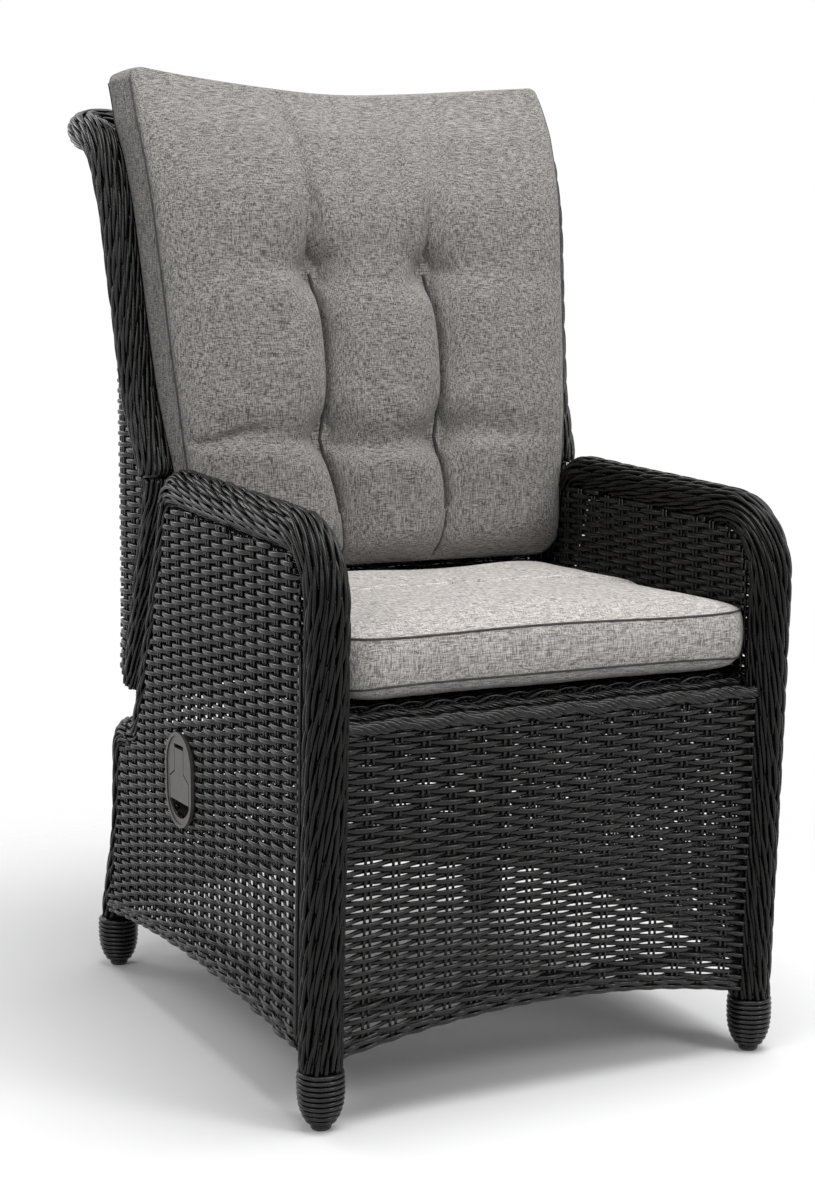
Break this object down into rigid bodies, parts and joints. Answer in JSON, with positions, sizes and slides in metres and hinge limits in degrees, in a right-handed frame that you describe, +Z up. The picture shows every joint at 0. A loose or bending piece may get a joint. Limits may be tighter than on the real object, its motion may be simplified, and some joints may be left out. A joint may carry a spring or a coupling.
{
  "type": "reclining garden armchair",
  "caption": "Woven wicker garden armchair with a reclining high back, gas spring release and thick seat and back cushions.",
  "frame": {"origin": "on the floor under the middle of the upright chair", "axes": "+Z up, +Y to the rear, X across the chair with the release handle on the -X side"},
  "size_m": [0.6622, 0.7283, 1.1511],
  "materials": {
    "wicker": "woven flat synthetic strands, near black grey",
    "frame": "powder coated dark grey tube",
    "steel": "zinc plated",
    "glide": "moulded",
    "bush": "moulded",
    "spring_body": "gloss black paint",
    "chrome_rod": "polished",
    "handle": "fine grained moulding",
    "cable_sheath": "smooth sheath",
    "cushion": "coarse melange weave, light warm grey"
  },
  "bodies": {
    "base": {"arm_braid_left": "wicker", "arm_braid_right": "wicker", "post_wrap_left": "wicker", "post_wrap_right": "wicker", "rear_leg_wrap_left": "wicker", "rear_leg_wrap_right": "wicker", "front_panel": "wicker", "side_panel_left": "wicker", "side_panel_right": "wicker", "rear_panel": "wicker", "arm_inner_left": "wicker", "arm_inner_right": "wicker", "seat_deck": "wicker", "front_rim": "wicker", "rear_rim": "wicker", "foot_wraps": "wicker", "side_frame_left": "frame", "side_frame_right": "frame", "seat_front_rail": "frame", "seat_rear_rail": "frame", "low_front_rail": "frame", "rear_rails": "frame", "seat_side_rails": "frame", "low_side_rails": "frame", "spring_rail": "frame", "seat_slats": "frame", "hinge_plates": "steel", "hinge_washers": "steel", "hinge_bolts": "steel", "hinge_nuts": "steel", "spring_bracket": "steel", "spring_bracket_pin": "steel", "paddle_pin": "steel", "foot_glides": "glide", "foot_plugs": "glide", "handle_housing": "handle", "release_cable": "cable_sheath", "cable_clips": "bush", "seat_cushion": "cushion"},
    "backrest": {"back_frame": "frame", "back_braid": "wicker", "back_low_wrap_left": "wicker", "back_low_wrap_right": "wicker", "back_low_rail": "frame", "back_high_rails": "frame", "back_front_skin": "wicker", "back_rear_skin": "wicker", "back_low_rim": "wicker", "back_cheek_left": "wicker", "back_cheek_right": "wicker", "back_hinge_plates": "steel", "hinge_bushes": "bush", "recline_lever": "steel", "back_cushion": "cushion"},
    "gas_rod": {"gas_rod": "chrome_rod", "release_head": "spring_body"},
    "gas_cylinder": {"gas_cylinder": "spring_body", "cylinder_eye": "steel"},
    "handle_paddle": {"handle_paddle": "handle"},
    "release_lever": {"release_lever": "steel"}
  },
  "joints": [
    {"name": "recline", "type": "hinge", "parent": "base", "child": "backrest", "pos_m": [0, 0.21422, 0.37], "axis": [-1, 0, 0], "range_deg": [0, 35]},
    {"name": "spring_swing", "type": "hinge", "parent": "base", "child": "gas_rod", "pos_m": [0, -0.0945, 0.37923], "axis": [-1, 0, 0], "range_deg": [0, 0.7504]},
    {"name": "spring_stroke", "type": "slide", "parent": "gas_rod", "child": "gas_cylinder", "axis": [0, -0.9537, 0.3007], "range_m": [0, 0.05411]},
    {"name": "handle_pull", "type": "hinge", "parent": "base", "child": "handle_paddle", "pos_m": [-0.293, 0.02922, 0.341], "axis": [0, 1, 0], "range_deg": [0, 25], "stiffness_Nm_per_rad": 0.15},
    {"name": "release_swing", "type": "hinge", "parent": "gas_rod", "child": "release_lever", "pos_m": [0, -0.08346, 0.38099], "axis": [-1, 0, 0], "range_deg": [0, 12]}
  ],
  "couplings": [
    {"joint": "spring_swing", "follows": "recline", "ratio": 0.021411},
    {"joint": "spring_stroke", "follows": "recline", "m_per_rad": 0.088569},
    {"joint": "release_swing", "follows": "handle_pull", "ratio": 0.48}
  ]
}
